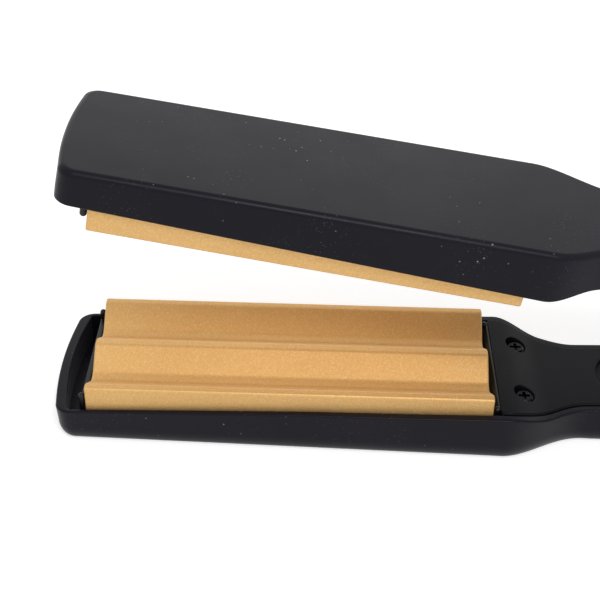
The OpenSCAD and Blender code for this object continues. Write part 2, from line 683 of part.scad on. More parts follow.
// A bead that runs out into its sleeved wires, half as thick as the bead
module thermistor() color(white_ceramic) lower_arm() at_closing_plane("lower")
  translate([sensor_x, -sensor_y, lower_base - bead_r]) rotate([0, 90, 0])
  rotate_extrude($fn = 32) polygon([
    for (a = [0 : 15 : 150]) [bead_r * sin(a), -bead_r * cos(a)],
    [bead_r / 2, sensor_l], [0, sensor_l]]);

// ---- Screws ----

module cover_screw() {
  head_h = 1.5;
  slot_w = 0.8;
  difference() {
    rotate_extrude($fn = 40) polygon([
      [0, -screw_l], [screw_d / 2 - 0.6, -screw_l], [screw_d / 2, -screw_l + 1], [screw_d / 2, 0],
      [screw_head_d / 2, 0], [screw_head_d / 2, head_h - 0.5],
      [screw_head_d / 2 - 0.5, head_h], [0, head_h]]);
    for (a = [0, 90]) rotate([0, 0, a]) translate([-1.4, -slot_w / 2, head_h - 0.8])
      cube([2.8, slot_w, 1]);
  }
}
module cover_screws(arm) for (p = screw_places) translate([p.x, p.y, seat_z(arm, p.x)]) cover_screw();
module lower_cover_screws() color(steel) lower_arm() cover_screws("lower");
module upper_cover_screws() color(steel) upper_arm() cover_screws("upper");

// ---- Hinge ----

pin_l = 2 * (ear_outer - cap_t - 0.1);
module hinge_pin() color(steel) lower_arm() translate(hinge_pos("lower"))
  rotate([90, 0, 0]) cylinder(d = pin_d, h = pin_l, center = true, $fn = 48);
module hinge_caps() color(dark_plastic) upper_arm() {
  h = hinge_pos("upper");
  for (s = [-1, 1]) translate([h.x, s * (ear_outer - cap_t / 2), h.z])
    rotate([90, 0, 0]) cylinder(d = cap_d, h = cap_t, center = true, $fn = 48);
}

// A tube of radius r along a path of points, with its sides turned from a fixed reference
module tube(path, r, sides, ref) {
  last = len(path) - 1;
  function along(k) = let (d = path[min(k + 1, last)] - path[max(k - 1, 0)]) d / norm(d);
  function frame_u(k) = let (c = cross(along(k), ref)) c / norm(c);
  rings = [for (k = [0 : last]) let (u = frame_u(k), v = cross(along(k), u))
    for (s = [0 : sides - 1]) path[k] + r * (u * cos(360 * s / sides) + v * sin(360 * s / sides))];
  walls = [for (k = [0 : last - 1], s = [0 : sides - 1])
    let (a = k * sides + s, b = k * sides + (s + 1) % sides)
    each [[a, a + sides, b + sides], [a, b + sides, b]]];
  start = [[for (s = [0 : sides - 1]) s]];
  end = [[for (s = [sides - 1 : -1 : 0]) last * sides + s]];
  polyhedron(rings, concat(walls, start, end));
}

// A torsion coil round the pin, with one leg forward above it and one below it
module hinge_spring() color(steel) lower_arm() translate(hinge_pos("lower")) {
  pitch = spring_wire_d + 0.1;
  turn = 360 * spring_turns + 180;
  start = -pitch * turn / 720;
  coil = [for (a = [0 : 20 : turn]) [spring_r * sin(a), start + pitch * a / 360, spring_r * cos(a)]];
  tube(concat([[-spring_leg, start, spring_r]], coil, [[-spring_leg + 2, -start, -spring_r]]),
       spring_wire_d / 2, 8, [0, 1, 0]);
}

// ---- Cord sleeve ----

sleeve_collar_t = 1.8;
sleeve_start = hinge_x + 1;
module cord_sleeve() color(dark_plastic) lower_arm()
  translate([sleeve_start, 0, outlet_z]) rotate([0, 90, 0]) {
    length = tail_end + sleeve_out - sleeve_start;
    difference() {
      union() {
        cylinder(d = sleeve_d, h = length, $fn = 64);
        cylinder(d = chamber_d - 2 * seat_gap, h = sleeve_collar_t, $fn = 64);
        translate([0, 0, tail_end - sleeve_start + 0.3])
          cylinder(d1 = sleeve_d + 1.6, d2 = sleeve_d, h = 1.6, $fn = 64);
      }
      translate([0, 0, -1]) cylinder(d = cord_bore_d, h = length + 2, $fn = 64);
    }
  }

// ---- Leads ----

lead_d = 1.6;
lead_steps = 8;
// A smooth run between two points that leaves and arrives level
function lead_run(a, b) = [for (k = [0 : lead_steps]) let (t = k / lead_steps)
  [a.x + (b.x - a.x) * t, a.y + (b.y - a.y) * smooth(t), a.z + (b.z - a.z) * smooth(t)]];
lead_z = floor_t + lead_d / 2 + 0.1;
lead_turn_x = neck_end - 6;                  // where the leads reach the handle's floor
heater_lead_y = 0.4 * heater_w;              // half the distance between a pair of leads, at each end
floor_lead_y = 2;
board_lead_y = 3;
outlet_lead_y = 1.1;
hinge_lead_y = 1.5;
module lead(a, b) tube(lead_run(a, b), lead_d / 2, 8, [0, 0, 1]);
module heater_leads(arm, base) {
  heater_end = closing_z(arm, heater_l / 2) + base - heater_t / 2;
  for (s = [-1, 1])
    lead([heater_l / 2 + 0.4, s * heater_lead_y, heater_end], [lead_turn_x, s * floor_lead_y, lead_z]);
}
module lower_leads() color([0.8, 0.8, 0.78]) lower_arm() {
  heater_leads("lower", lower_base);
  for (s = [-1, 1]) {
    lead([lead_turn_x + 0.2, s * floor_lead_y, lead_z],
         [board_x - 0.2, s * board_lead_y, board_z + board_t / 2]);
    lead([board_end + 0.2, s * board_lead_y, board_z + board_t / 2],
         [sleeve_start - 0.3, s * outlet_lead_y, outlet_z]);
  }
}
module upper_leads() color([0.8, 0.8, 0.78]) upper_arm() {
  heater_leads("upper", upper_base);
  for (s = [-1, 1])
    lead([lead_turn_x + 0.2, s * floor_lead_y, lead_z],
         [upper_cavity_end - 0.4, s * hinge_lead_y, lead_z]);
}

// ---- Assembly ----

lower_housing();
lower_inner_cover();
lower_plate_frame();
lower_wave_plate();
lower_heater();
lower_heater_clamp();
lower_insulator();
lower_cover_screws();
lower_leads();
thermal_fuse();
thermistor();
control_board();
tact_switches();
indicator_lens();
power_button();
temp_up_button();
temp_down_button();
cord_sleeve();
hinge_pin();
hinge_spring();
upper_housing();
upper_inner_cover();
upper_plate_frame();
upper_wave_plate();
upper_heater();
upper_heater_clamp();
upper_insulator();
upper_cover_screws();
upper_leads();
hinge_caps();
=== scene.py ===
"""A hair waver: its looks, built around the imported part.

Shapes are worked out in millimetres, in each arm's own frame: x runs from the tip to the hinge and
is 0 at the plate's middle, and z is 0 at the arm's flat back. piece() carries them into the shared
frame, in metres.
"""
import json
import math

import bmesh
import bpy
from mathutils import Matrix, Vector


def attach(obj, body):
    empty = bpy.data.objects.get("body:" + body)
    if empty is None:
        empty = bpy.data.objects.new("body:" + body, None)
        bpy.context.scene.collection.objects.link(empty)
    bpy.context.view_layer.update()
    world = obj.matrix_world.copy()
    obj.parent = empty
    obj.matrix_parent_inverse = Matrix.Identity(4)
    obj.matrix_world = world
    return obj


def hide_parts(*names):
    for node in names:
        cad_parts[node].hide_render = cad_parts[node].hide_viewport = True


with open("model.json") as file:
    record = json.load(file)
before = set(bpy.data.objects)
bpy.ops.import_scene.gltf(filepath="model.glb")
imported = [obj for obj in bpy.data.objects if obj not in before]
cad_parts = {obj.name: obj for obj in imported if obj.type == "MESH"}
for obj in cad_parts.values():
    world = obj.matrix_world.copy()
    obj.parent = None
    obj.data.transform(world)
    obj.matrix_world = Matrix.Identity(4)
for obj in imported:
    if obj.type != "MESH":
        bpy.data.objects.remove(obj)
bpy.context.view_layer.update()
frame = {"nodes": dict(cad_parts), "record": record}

MM = 0.001

# ---- Driving sizes, in millimetres ----

# Wave plates: waves between two flat lands, over a skirt down each side
PLATE_L, PLATE_W, PLATE_BASE = 95.6, 36.4, 2.0
OUTER_LAND, WAVE_LAND, WAVE_DEPTH = 2.0, 2.2, 4.4
WAVE_PITCH = PLATE_W / 2 - OUTER_LAND + WAVE_LAND / 2
CREST_R, TROUGH_R, SIDE_EDGE_R, PLATE_EDGE = 1.7, 3.0, 0.6, 0.45
SKIRT_T, SKIRT_DEPTH = 1.6, 9.4

# Both arms from above: bowed tip, tapered paddle, S-shaped neck, slim handle
TIP_REACH, TIP_BOW, TIP_CORNER_R = PLATE_L / 2 + 8.6, 1.2, 3.8
PADDLE_TIP_HALF, PADDLE_HEEL_HALF = PLATE_W / 2 + 1.4, PLATE_W / 2 + 2.4
NECK_X, NECK_LENGTH = PLATE_L / 2 + 3.2, 20.5
NECK_END = NECK_X + NECK_LENGTH
HANDLE_W, HANDLE_REAR_W = 26.0, 26.4

# Hinge and tail
HINGE_X, HINGE_DROP, OPEN_ANGLE = NECK_END + 127.5, 1.05, 10.14
KNUCKLE_R, KNUCKLE_W, KNUCKLE_FOOT_Z, KNUCKLE_ROOM = 7.0, 13.8, 8.0, 13.0
EAR_INNER, EAR_OUTER = KNUCKLE_W / 2 + 0.3, HANDLE_REAR_W / 2 - 0.3
EAR_FLOOR_GAP, EAR_FOOT_DEPTH, HOOD_T = 0.45, 4.0, 2.6
TAIL_START, TAIL_LENGTH, TAIL_END = HINGE_X - 16, 9.0, HINGE_X + 9

# The rims' height: a step down in the neck, and a slight sweep of the lower paddle's rim, high in
# the middle and low at the heel
PADDLE_TAPER = 0.015
DROP_START, DROP_LENGTH = NECK_X + 0.5, 0.56 * NECK_LENGTH
RIM_CROWN, HEEL_SAG, SAG_START, SAG_LENGTH = 0.15, 0.65, -5.0, 55.0

# Housing walls, and the well for the plate and the cover
WALL, FLOOR_T, DRAFT, SEAT_GAP, RUNNING_GAP = 1.9, 2.0, 0.3, 0.15, 0.06
RIM_R, WELL_EDGE_R = 0.45, 0.3
TIP_LAND, CAVITY_BOW, CAVITY_CORNER_R = 2.4, 1.8, 1.0
CAVITY_HALF = PLATE_W / 2 + 2 * SEAT_GAP

# Inner covers, their screw wells and the controls
COVER_T, COVER_RISE, COVER_EDGE_R, COVER_FRONT_R = 2.0, 0.4, 0.4, 0.8
COVER_FRONT, COVER_END_GAP = PLATE_L / 2 + 1.8, 0.3
SCREW_PLACES = [(x, s * y)
                for x, y in ((NECK_X + 5.2, 9.5), (HINGE_X - 27, 6.5)) for s in (-1, 1)]
WELL_D, WELL_DEPTH, WELL_WALL_T, WELL_FLOOR_T = 5.4, 2.6, 1.0, 1.2
RECESS_D, RECESS_DEPTH, RECESS_WALL_T, RECESS_FLOOR_T = 20.0, 1.2, 0.6, 1.6
POWER_X, POWER_D = NECK_END + 13.5, 13.0
TEMP_UP_X, TEMP_DOWN_X, TEMP_D = POWER_X + 23.5, POWER_X + 35.5, 5.6
LENS_X, LENS_D = POWER_X + RECESS_D / 2 + 4.5, 2.6
BUTTON_GAP, BUTTON_EDGE_R, FLANGE_OUT, FLANGE_T = 0.3, 0.55, 1.0, 0.8

# Heat-proof carriers: a tray under each plate, with a wall and two pegs at each end. Each drop is
# from the closing plane down.
CARRIER_UNDER, TRAY_T, TRAY_END_INSET, WALL_OUT = 12.0, 1.4, 0.5, 0.6
TIP_GAP, TIP_WALL_T, TIP_WALL_DROP, TIP_PEG_DROP = 0.25, 1.4, 5.2, 2.7
HEEL_GAP, HEEL_WALL_T, HEEL_WALL_DROP, HEEL_PEG_DROP = 0.3, 1.45, 3.75, 3.3
HEEL_LAND, HEEL_SLOPE, PEG_D = 0.4, 1.6, 1.6

# Pin, spring, caps over the pin's ends, and cord outlet
PIN_D, CAP_D, CAP_T = 4.0, 7.0, 1.4
SPRING_SLOT_R, SPRING_SLOT_W = 3.6, 6.4
RIB_FRONT, RIB_REAR, RIB_W = 8.5, 5.5, 5.0             # front and rear: ahead of the hinge
OUTLET_Z, SLEEVE_D, CORD_BORE_D = 7.8, 8.6, 6.2
SLEEVE_START, SLEEVE_OUT, COLLAR_T, CHAMBER_D = HINGE_X + 1, 8.0, 1.8, SLEEVE_D + 2.6
SLEEVE_L = TAIL_END + SLEEVE_OUT - SLEEVE_START

# x of the shared frame's origin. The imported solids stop 0.2 mm short of this tip.
PART_TIP_REACH = PLATE_L / 2 + 8.4
X_MID = (TAIL_END + SLEEVE_OUT - PART_TIP_REACH) / 2

# Sections along an arm, and points round its outline
PADDLE_STATIONS, HANDLE_LAST_X = [-46, -20, 5, 30, NECK_X - 1.5], TAIL_START - 3
NECK_STEPS, HANDLE_STEPS, TAIL_STEPS, BOW_STEPS, CORNER_STEPS = 24, 10, 8, 12, 8

# How far cutters reach past an open face, and down through a cover
PAST, THROUGH = 3.0, 5.0


def turn_y(degrees):
    return Matrix.Rotation(math.radians(degrees), 4, "Y")


def smooth(t):
    t = min(max(t, 0.0), 1.0)
    return t * t * (3 - 2 * t)


def between(a, b, t):
    return a + (b - a) * t


def spread(a, b, steps):
    """Evenly spread values from a to b, both included."""
    return [between(a, b, k / steps) for k in range(steps + 1)]


def quarter(steps):
    """Angles of a quarter turn."""
    return spread(0, math.pi / 2, steps)


class Arm:
    """One arm's own sizes, and the way from its frame to the shared one.

    side is -1 for the arm below the closing plane and 1 for the arm above it. A drop runs from
    the closing plane down to the rim, and further down in the handle.
    """

    def __init__(self, name, side, depth, rim_drop, rim_rise, handle_drop, back_edge, end, rear_r,
                 cavity_end):
        self.name, self.side, self.depth = name, side, depth
        self.rim_drop, self.rim_rise, self.handle_drop = rim_drop, rim_rise, handle_drop
        self.edge_in, self.edge_up = back_edge
        self.end, self.rear_r, self.cavity_end = end, rear_r, cavity_end
        self.tilt = math.atan(PADDLE_TAPER)
        self.tail_drop = 0.0
        if name == "lower":
            self.tail_drop = self.rim_z(HINGE_X) - self.hinge()[1] + KNUCKLE_R + EAR_FLOOR_GAP

    def rim_z(self, x):
        """Height of the rim at x."""
        neck = smooth((x - DROP_START) / DROP_LENGTH)
        level = self.depth + PADDLE_TAPER * x - self.rim_drop + self.rim_rise * x
        level -= self.handle_drop * neck
        if self.name == "lower":
            sag = smooth((x - SAG_START) / SAG_LENGTH)
            level += RIM_CROWN - (RIM_CROWN + HEEL_SAG) * sag + HEEL_SAG * neck
        return level - self.tail_drop * smooth((x - TAIL_START) / TAIL_LENGTH)

    def cover_z(self, x):
        return self.rim_z(x) + COVER_RISE

    def hinge(self):
        """x and z of the hinge axis."""
        z = self.side * HINGE_DROP
        c, s = math.cos(self.tilt), math.sin(self.tilt)
        return HINGE_X * c - z * s, self.depth + HINGE_X * s + z * c

    def matrix(self):
        """From the arm's frame in millimetres to the shared frame in metres."""
        to_part = Matrix.Scale(MM, 4) @ Matrix.Translation((-X_MID, 0, 0))
        if self.name == "lower":
            return to_part
        to_hinge = Matrix.Translation((HINGE_X, 0, -HINGE_DROP))
        swing = to_hinge @ turn_y(OPEN_ANGLE) @ to_hinge.inverted()
        mirror = Matrix.Diagonal((1, 1, -1, 1))
        return to_part @ LOWER.plane() @ swing @ mirror @ self.plane().inverted()

    def plane(self):
        """From the closing frame, where z is 0 at the closing plane, to the arm's frame."""
        return Matrix.Translation((0, 0, self.depth)) @ turn_y(-math.degrees(self.tilt))

    def on_cover(self, x, y=0.0):
        """From a frame on the inner cover's face at (x, y), tilted with the face, to the arm's."""
        slope = math.atan((self.cover_z(x + 1) - self.cover_z(x - 1)) / 2)
        return Matrix.Translation((x, y, self.cover_z(x))) @ turn_y(-math.degrees(slope))

    def at_hinge(self, y):
        """From a frame whose z runs outward along the hinge axis, at y, to the arm's."""
        x, z = self.hinge()
        turn = -90 if y > 0 else 90
        return Matrix.Translation((x, y, z)) @ Matrix.Rotation(math.radians(turn), 4, "X")


LOWER = Arm("lower", side=-1, depth=16.2, rim_drop=4.85, rim_rise=0.0265, handle_drop=3.8,
            back_edge=(2.2, 5.0), end=TAIL_END, rear_r=5.0, cavity_end=HINGE_X - 8.5)
UPPER = Arm("upper", side=1, depth=15.2, rim_drop=5.1, rim_rise=0.0215, handle_drop=2.3,
            back_edge=(1.5, 1.5), end=HINGE_X + KNUCKLE_R, rear_r=3.0,
            cavity_end=HINGE_X - KNUCKLE_ROOM - WALL)
ARMS = (LOWER, UPPER)


def at_outlet(x):
    """From a frame whose z runs out along the cord outlet, at x, to the lower arm's."""
    return Matrix.Translation((x, 0, OUTLET_Z)) @ turn_y(90)


def half_w(x):
    """Half the width of an arm at x."""
    if x < NECK_X:
        return between(PADDLE_TIP_HALF, PADDLE_HEEL_HALF, (x + TIP_REACH) / (NECK_X + TIP_REACH))
    along = max(x - NECK_END, 0) / (HINGE_X - NECK_END)
    handle = between(HANDLE_W / 2, HANDLE_REAR_W / 2, along)
    return between(PADDLE_HEEL_HALF, handle, smooth((x - NECK_X) / NECK_LENGTH))


def inset_half(x, inset):
    """Half the width of an arm at x, with its side moved in square to itself."""
    slope = half_w(x + 0.5) - half_w(x - 0.5)
    return half_w(x) - inset * math.sqrt(1 + slope * slope)


def cavity_half(x, inset=0.0):
    """Half the width of the well in a housing."""
    if x < NECK_X:
        return CAVITY_HALF - inset
    return min(CAVITY_HALF - inset, inset_half(x, WALL + inset))


# ---- Shapes: lists of vertices and faces ----

def outline(tip, bow, tip_r, rear, rear_r, half, stations):
    """A closed outline as (x, y) points: the side +y from tip to rear, then the side -y back."""
    y_tip, x_tip = half(tip + tip_r) - tip_r, tip + bow + tip_r
    x_rear, y_rear = rear - rear_r, half(rear - rear_r) - rear_r
    side = []
    if bow:
        across = [(k + 0.5) / BOW_STEPS for k in range(BOW_STEPS)]
        side += [(tip + bow * t ** 2, y_tip * t) for t in across]
    side += [(x_tip - tip_r * math.cos(a), y_tip + tip_r * math.sin(a))
             for a in quarter(CORNER_STEPS)]
    side += [(x, half(x)) for x in stations]
    side += [(x_rear + rear_r * math.cos(a), y_rear + rear_r * math.sin(a))
             for a in reversed(quarter(CORNER_STEPS))]
    return side + [(x, -y) for x, y in reversed(side)]


def side_stations(rear, start=PADDLE_STATIONS[0]):
    """x of the sections along a side, close together in the neck and where the tail falls."""
    last = rear - 0.4
    xs = PADDLE_STATIONS + spread(NECK_X, NECK_END, NECK_STEPS)
    xs += spread(NECK_END, HANDLE_LAST_X, HANDLE_STEPS)[1:]
    xs += spread(TAIL_START, min(last, TAIL_START + TAIL_LENGTH), TAIL_STEPS)[:-1]
    return [x for x in xs if start <= x < last] + [last]


def loft(rings):
    """A closed solid through rings of equally many points, each made by outline()."""
    n = len(rings[0])
    lid = [(k, k + 1, n - 2 - k, n - 1 - k) for k in range(n // 2 - 1)]
    verts = [p for ring in rings for p in ring]
    faces = [tuple(reversed(f)) for f in lid]
    for j in range(len(rings) - 1):
        for k in range(n):
            m = (k + 1) % n
            faces.append((j * n + k, j * n + m, (j + 1) * n + m, (j + 1) * n + k))
    top = (len(rings) - 1) * n
    return verts, faces + [tuple(top + i for i in f) for f in lid]


def revolve(profile, steps=64):
    """A solid round z, from an (r, z) outline that starts and ends on the axis, or a ring."""
    solid = profile[0][0] == 0
    points = profile[1:-1] if solid else profile
    m = len(points)
    turns = [2 * math.pi * k / steps for k in range(steps)]
    verts = [(r * math.cos(a), r * math.sin(a), z) for a in turns for r, z in points]
    faces = []
    for k in range(steps):
        a, b = k * m, (k + 1) % steps * m
        faces += [(a + i, b + i, b + (i + 1) % m, a + (i + 1) % m)
                  for i in range(m - 1 if solid else m)]
    if solid:
        faces += [tuple(k * m for k in range(steps)), tuple(k * m + m - 1 for k in range(steps))]
    return verts, faces


def prism(profile, low, high, along="y"):
    """A closed prism across the arm from an (x, z) profile, or along it from a (y, z) one."""
    n = len(profile)
    verts = [(u, at, z) if along == "y" else (at, u, z) for at in (low, high) for u, z in profile]
    faces = [tuple(range(n)), tuple(range(2 * n - 1, n - 1, -1))]
    faces += [(k, n + k, n + (k + 1) % n, (k + 1) % n) for k in range(n)]
    return verts, faces


def box(xs, ys, zs):
    return prism([(xs[0], zs[0]), (xs[1], zs[0]), (xs[1], zs[1]), (xs[0], zs[1])], *ys)


def disc(r, low, high):
    """A plain round bar along z."""
    return revolve([(0, low), (r, low), (r, high), (0, high)])


def arc(cx, cz, r, start, end, steps=32):
    """Points of an arc in the x-z plane, angles in degrees."""
    angles = [math.radians(a) for a in spread(start, end, steps)]
    return [(cx + r * math.cos(a), cz + r * math.sin(a)) for a in angles]


def across_bar(x, z, r, width):
    """A round bar across the arm."""
    return prism(arc(x, z, r, 0, 360, steps=63)[:-1], -width / 2, width / 2)


def sink(r, depth, flare, floor_r=0.0):
    """Cutter for a round sink in a face at z = 0, with a soft lip and a rounded floor."""
    points = [(0, -depth), (r - floor_r, -depth)]
    points += [(r - floor_r + floor_r * math.sin(a), -depth + floor_r * (1 - math.cos(a)))
               for a in quarter(3)]
    points += [(r + flare * (1 - math.cos(a)), -flare * (1 - math.sin(a))) for a in quarter(4)]
    return revolve(points + [(r + flare, PAST), (0, PAST)])


def turned(shape, matrix):
    verts, faces = shape
    return [tuple(matrix @ Vector(v)) for v in verts], faces


def joined(*shapes):
    verts, faces = [], []
    for shape_verts, shape_faces in shapes:
        faces += [tuple(i + len(verts) for i in f) for f in shape_faces]
        verts += shape_verts
    return verts, faces


# ---- Pieces: objects made from shapes ----

SHARP_ANGLE = 32.0


def mesh_object(name, shape, matrix):
    """A mesh object from a shape, carried by matrix, with all normals outward."""
    mesh = bpy.data.meshes.new(name)
    mesh.from_pydata([matrix @ Vector(v) for v in shape[0]], [], shape[1])
    work = bmesh.new()
    work.from_mesh(mesh)
    bmesh.ops.recalc_face_normals(work, faces=work.faces)
    work.to_mesh(mesh)
    work.free()
    made = bpy.data.objects.new(name, mesh)
    bpy.context.scene.collection.objects.link(made)
    return made


def apply_modifiers(thing):
    """Puts the result of the modifiers into the mesh."""
    graph = bpy.context.evaluated_depsgraph_get()
    mesh = bpy.data.meshes.new_from_object(thing.evaluated_get(graph), depsgraph=graph)
    thing.modifiers.clear()
    thing.data = mesh


def bevelled(shape, width, steps=3, degrees=50.0):
    """The shape with its sharp edges rounded."""
    made = mesh_object("bevelled", shape, Matrix.Identity(4))
    step = made.modifiers.new("bevel", "BEVEL")
    step.width, step.segments = width, steps
    step.limit_method, step.angle_limit = "ANGLE", math.radians(degrees)
    apply_modifiers(made)
    verts = [tuple(v.co) for v in made.data.vertices]
    faces = [tuple(f.vertices) for f in made.data.polygons]
    bpy.data.objects.remove(made)
    return verts, faces


def combine(thing, shapes, matrix, operation):
    """Cuts each shape out of thing (DIFFERENCE), or joins it on (UNION)."""
    for shape in shapes:
        tool = mesh_object("tool", shape, matrix)
        step = thing.modifiers.new("combine", "BOOLEAN")
        step.operation, step.solver, step.object = operation, "EXACT", tool
        apply_modifiers(thing)
        bpy.data.objects.remove(tool)


def shade(thing):
    """Smooth shading, with flat faces kept flat beside the fillets."""
    for face in thing.data.polygons:
        face.use_smooth = True
    thing.data.set_sharp_from_angle(angle=math.radians(SHARP_ANGLE))
    weigh = thing.modifiers.new("weigh", "WEIGHTED_NORMAL")
    weigh.keep_sharp, weigh.weight = True, 80
    apply_modifiers(thing)


def piece(name, shape, arm, slot, nodes=(), cutters=(), joins=(), body=None):
    """A finished piece in an arm's frame: it rides on a body and takes the slot's material."""
    matrix = arm.matrix()
    made = mesh_object(name, shape, matrix)
    combine(made, joins, matrix, "UNION")
    combine(made, cutters, matrix, "DIFFERENCE")
    made.data.materials.clear()
    made.data.materials.append(MATERIALS[slot])
    shade(made)
    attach(made, body or arm.name + "_arm")
    if nodes:
        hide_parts(*nodes)


# ---- Materials ----

# Specks of dust: cells per metre, size in cells, patches per metre, the noise over which a patch
# fades in, and colour
DUST_LAYERS = ((760, 0.17, 45, (0.52, 0.72), (0.7, 0.68, 0.68)),
               (1900, 0.3, 70, (0.44, 0.75), (0.16, 0.155, 0.165)))
GRAIN_DEPTH, FLAKE_DEPTH, STRAND_DEPTH = 0.00004, 0.00003, 0.0001      # metres, for bumps


class Paint:
    """The nodes of a material or a world, up to its shader. Scales are per metre."""

    def __init__(self, owner, shader="Principled BSDF"):
        owner.use_nodes = True
        self.owner, self.tree = owner, owner.node_tree
        self.shader = self.tree.nodes[shader]

    def feed(self, node, inputs):
        """Sets each input, by name or number, to a value or to another node's output."""
        for key, value in inputs.items():
            if isinstance(value, bpy.types.NodeSocket):
                self.tree.links.new(value, node.inputs[key])
            else:
                node.inputs[key].default_value = value

    def add(self, kind, inputs, **settings):
        made = self.tree.nodes.new("ShaderNode" + kind)
        for key, value in settings.items():
            setattr(made, key, value)
        self.feed(made, inputs)
        return made

    def texture(self, kind, scale, stretch=(1, 1, 1), **settings):
        """A texture node in the object's own coordinates, which may be stretched."""
        place = self.add("TexCoord", {}).outputs["Object"]
        if stretch != (1, 1, 1):
            place = self.add("Mapping", {"Vector": place, "Scale": stretch}).outputs["Vector"]
        return self.add(kind, {"Vector": place, "Scale": scale, **settings})

    def noise(self, scale, detail, stretch=(1, 1, 1)):
        return self.texture("TexNoise", scale, stretch, Detail=detail).outputs["Fac"]

    def cells(self, scale):
        """Distance to the nearest cell's middle, and three random values of the cell."""
        made = self.texture("TexVoronoi", scale)
        split = self.add("SeparateColor", {"Color": made.outputs["Color"]})
        return made.outputs["Distance"], *[split.outputs[c] for c in ("Red", "Green", "Blue")]

    def ramp(self, source, to, span=(0.3, 0.7)):
        """Carries a factor from span to the range of to."""
        return self.add("MapRange", {"Value": source, "From Min": span[0], "From Max": span[1],
                                     "To Min": to[0], "To Max": to[1]}).outputs["Result"]

    def compute(self, operation, a, b):
        return self.add("Math", {0: a, 1: b}, operation=operation).outputs["Value"]

    def mix(self, factor, a, b):
        """A colour between a and b."""
        made = self.add("Mix", {"Factor": factor}, data_type="RGBA")
        colours = [k for k, s in enumerate(made.inputs) if s.type == "RGBA"]
        values = [v if isinstance(v, bpy.types.NodeSocket) else (*v, 1) for v in (a, b)]
        self.feed(made, dict(zip(colours, values)))
        return [s for s in made.outputs if s.type == "RGBA"][0]

    def specks(self, scale, size):
        """1 on small specks in one cell out of five, 0 between them."""
        distance, chance, _, _ = self.cells(scale)
        near = self.ramp(distance, (1, 0), (0, size))
        return self.compute("MULTIPLY", near, self.ramp(chance, (0, 1), (0.80, 0.82)))

    def bump(self, *heights):
        """Chains bumps: each height is (socket, strength, depth in metres)."""
        normal = {}
        for height, strength, depth in heights:
            made = self.add("Bump", {"Strength": strength, "Distance": depth, "Height": height,
                                     **normal})
            normal = {"Normal": made.outputs["Normal"]}
        self.feed(self.shader, normal)


def plastic(name, dark, light, rough, grain, dust=0.0, specular=0.5, sheen=0.0):
    """Moulded plastic: a fine grain, slow changes of tone and gloss, and dust in patches."""
    paint = Paint(bpy.data.materials.new(name))
    colour = paint.mix(paint.ramp(paint.noise(scale=35, detail=4), (0, 1)), dark, light)
    if dust:
        for scale, size, patches, fade, speck_colour in DUST_LAYERS:
            patch = paint.ramp(paint.noise(patches, detail=2), (0, dust), fade)
            shown = paint.compute("MULTIPLY", paint.specks(scale, size), patch)
            colour = paint.mix(shown, colour, speck_colour)
    gloss = paint.ramp(paint.noise(scale=90, detail=3), (rough - 0.04, rough + 0.05))
    paint.feed(paint.shader, {"Base Color": colour, "Roughness": gloss,
                              "Specular IOR Level": specular, "Sheen Weight": sheen,
                              "Sheen Roughness": 0.4, "Sheen Tint": (0.88, 0.86, 1.0, 1)})
    paint.bump((paint.noise(scale=5200, detail=1), grain, GRAIN_DEPTH))
    return paint.owner


def metal(name, colour, rough, stretch=(1, 1, 12)):
    """Bare or coated metal with fine streaks and slight tarnish."""
    paint = Paint(bpy.data.materials.new(name))
    streaks = paint.noise(900, 2, stretch)
    dull = tuple(0.75 * c for c in colour)
    tarnish = paint.ramp(paint.noise(scale=200, detail=3), (0, 1))
    paint.feed(paint.shader, {"Base Color": paint.mix(tarnish, dull, colour), "Metallic": 1.0,
                              "Roughness": paint.ramp(streaks, (rough - 0.06, rough + 0.08))})
    paint.bump((streaks, 0.15, FLAKE_DEPTH))
    return paint.owner


def gold_plate(name):
    """Satin gold ceramic coat: a warm metallic paint with fine flakes that catch the light."""
    paint = Paint(bpy.data.materials.new(name))
    _, lift, glint, dullness = paint.cells(scale=4200)
    base = paint.mix(paint.ramp(paint.noise(scale=30, detail=3), (0, 1)),
                     (0.66, 0.392, 0.137), (0.70, 0.422, 0.152))
    colour = paint.mix(paint.ramp(glint, (0, 0.30), (0.55, 1)), base, (0.96, 0.72, 0.40))
    paint.feed(paint.shader, {"Base Color": colour, "Metallic": 0.55,
                              "Roughness": paint.ramp(dullness, (0.44, 0.64), (0, 1))})
    paint.bump((lift, 0.22, FLAKE_DEPTH),
               (paint.noise(scale=1500, detail=2), 0.15, GRAIN_DEPTH))
    return paint.owner


def lead_braid(name):
    """Glass-fibre sleeve: crossed strands."""
    paint = Paint(bpy.data.materials.new(name))
    weave = paint.texture("TexChecker", 3000).outputs["Fac"]
    paint.feed(paint.shader, {"Roughness": 0.8,
                              "Base Color": paint.mix(weave, (0.62, 0.62, 0.58), (0.8, 0.8, 0.77))})
    paint.bump((weave, 0.4, STRAND_DEPTH))
    return paint.owner


